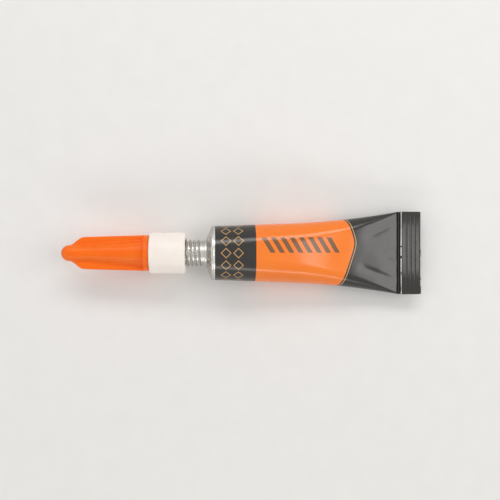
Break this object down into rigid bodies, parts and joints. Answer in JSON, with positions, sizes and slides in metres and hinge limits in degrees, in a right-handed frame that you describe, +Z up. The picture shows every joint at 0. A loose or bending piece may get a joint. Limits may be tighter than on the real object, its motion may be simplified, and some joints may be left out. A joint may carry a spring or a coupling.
{
  "type": "super glue tube",
  "caption": "Small aluminium squeeze tube with a folded flat tail, threaded neck, screw-on piercing nozzle and push-on winged cap, lying on its belly.",
  "frame": {"origin": "on the resting surface, under the middle of the bounding box of the closed tube", "axes": "+X along the tube towards the folded tail, +Z up from the resting surface; the tube's own axis dips 3.71 degrees towards the tail"},
  "size_m": [0.09, 0.021, 0.0135],
  "materials": {
    "printed_aluminium": "gloss",
    "bare_foil": "satin",
    "latex_sealant": "matte",
    "liquid_glue": "gloss",
    "white_polyethylene": "satin",
    "steel_wire": "polished",
    "orange_polypropylene": "gloss"
  },
  "bodies": {
    "tube": {"tube_shell": "printed_aluminium", "tail_sealant": "latex_sealant", "glue_fill": "liquid_glue"},
    "foil": {"neck_foil": "bare_foil"},
    "nozzle": {"nozzle": "white_polyethylene"},
    "needle": {"cap_needle": "steel_wire"},
    "cap": {"cap": "orange_polypropylene"}
  },
  "joints": [
    {"name": "nozzle_turn", "type": "hinge", "parent": "tube", "child": "foil", "pos_m": [-0.00779, 0, 0.00674], "axis": [0.9979, 0, -0.0647], "range_deg": [-1009, 1801]},
    {"name": "nozzle_advance", "type": "slide", "parent": "foil", "child": "nozzle", "axis": [0.9979, 0, -0.0647], "range_m": [-0.0028, 0.005], "deforming": ["neck_foil"]},
    {"name": "cap_pull", "type": "slide", "parent": "nozzle", "child": "needle", "axis": [-0.9979, 0, 0.0647], "range_m": [0, 0.03]},
    {"name": "cap_twist", "type": "hinge", "parent": "needle", "child": "cap", "pos_m": [-0.02356, 0, 0.00776], "axis": [-0.9979, 0, 0.0647], "continuous": true}
  ],
  "couplings": [
    {"joint": "nozzle_turn", "follows": "nozzle_advance", "rad_per_m": 6283.2}
  ]
}
